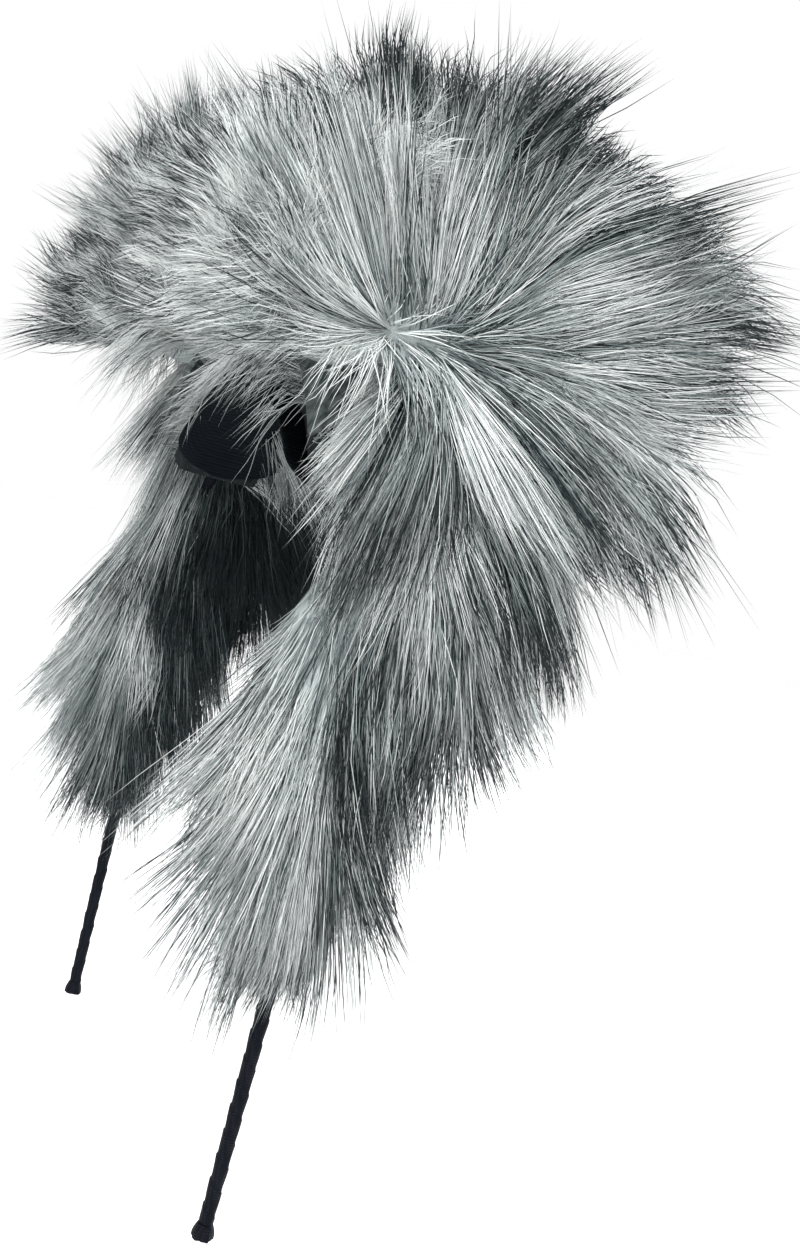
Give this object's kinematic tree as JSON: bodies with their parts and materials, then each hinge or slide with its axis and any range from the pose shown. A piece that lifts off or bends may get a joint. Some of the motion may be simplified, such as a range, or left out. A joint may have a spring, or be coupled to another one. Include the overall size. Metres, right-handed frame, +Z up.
{
  "type": "animal ears headband",
  "caption": "Furry animal ears on a ribbon-wrapped spring hairband, with long-pile fur sleeves over the crown and both arms and bare tips below.",
  "frame": {"origin": "middle of the lining's flat inner face, where the crown rests on the head", "axes": "+Z up from the head, the wearer looks along -Y, the wearer's left is +X"},
  "size_m": [0.1554, 0.087, 0.19],
  "materials": {
    "steel": "satin",
    "ribbon": "satin",
    "fur": "matte",
    "plush": "matte",
    "lining": "matte",
    "hem": "matte",
    "felt": "matte",
    "thread": "satin"
  },
  "bodies": {
    "crown": {"band_core_crown": "steel", "band_ribbon_crown": "ribbon", "crown_fur_sleeve": "fur", "crown_lining": "lining", "left_ear_seat": "hem", "right_ear_seat": "hem"},
    "left_arm": {"left_band_core": "steel", "left_band_ribbon": "ribbon", "left_arm_fur_sleeve": "fur", "left_sleeve_hem": "hem", "left_tip_cap": "ribbon"},
    "left_ear": {"left_ear_back_fur": "fur", "left_ear_front_plush": "plush", "left_ear_stiffener": "felt", "left_ear_edge_thread": "thread"},
    "right_arm": {"right_band_core": "steel", "right_band_ribbon": "ribbon", "right_arm_fur_sleeve": "fur", "right_sleeve_hem": "hem", "right_tip_cap": "ribbon"},
    "right_ear": {"right_ear_back_fur": "fur", "right_ear_front_plush": "plush", "right_ear_stiffener": "felt", "right_ear_edge_thread": "thread"}
  },
  "joints": [
    {"name": "left_arm_flex", "type": "hinge", "parent": "crown", "child": "left_arm", "pos_m": [0.05299, 0, -0.02711], "axis": [0, -1, 0], "range_deg": [-3, 10], "stiffness_Nm_per_rad": 0.8},
    {"name": "left_ear_tilt", "type": "hinge", "parent": "crown", "child": "left_ear", "pos_m": [0.03327, 0, -0.00319], "axis": [0.8192, 0, -0.5736], "range_deg": [-20, 20], "stiffness_Nm_per_rad": 0.05},
    {"name": "right_arm_flex", "type": "hinge", "parent": "crown", "child": "right_arm", "pos_m": [-0.05299, 0, -0.02711], "axis": [0, 1, 0], "range_deg": [-3, 10], "stiffness_Nm_per_rad": 0.8},
    {"name": "right_ear_tilt", "type": "hinge", "parent": "crown", "child": "right_ear", "pos_m": [-0.03327, 0, -0.00319], "axis": [0.8192, 0, 0.5736], "range_deg": [-20, 20], "stiffness_Nm_per_rad": 0.05}
  ]
}
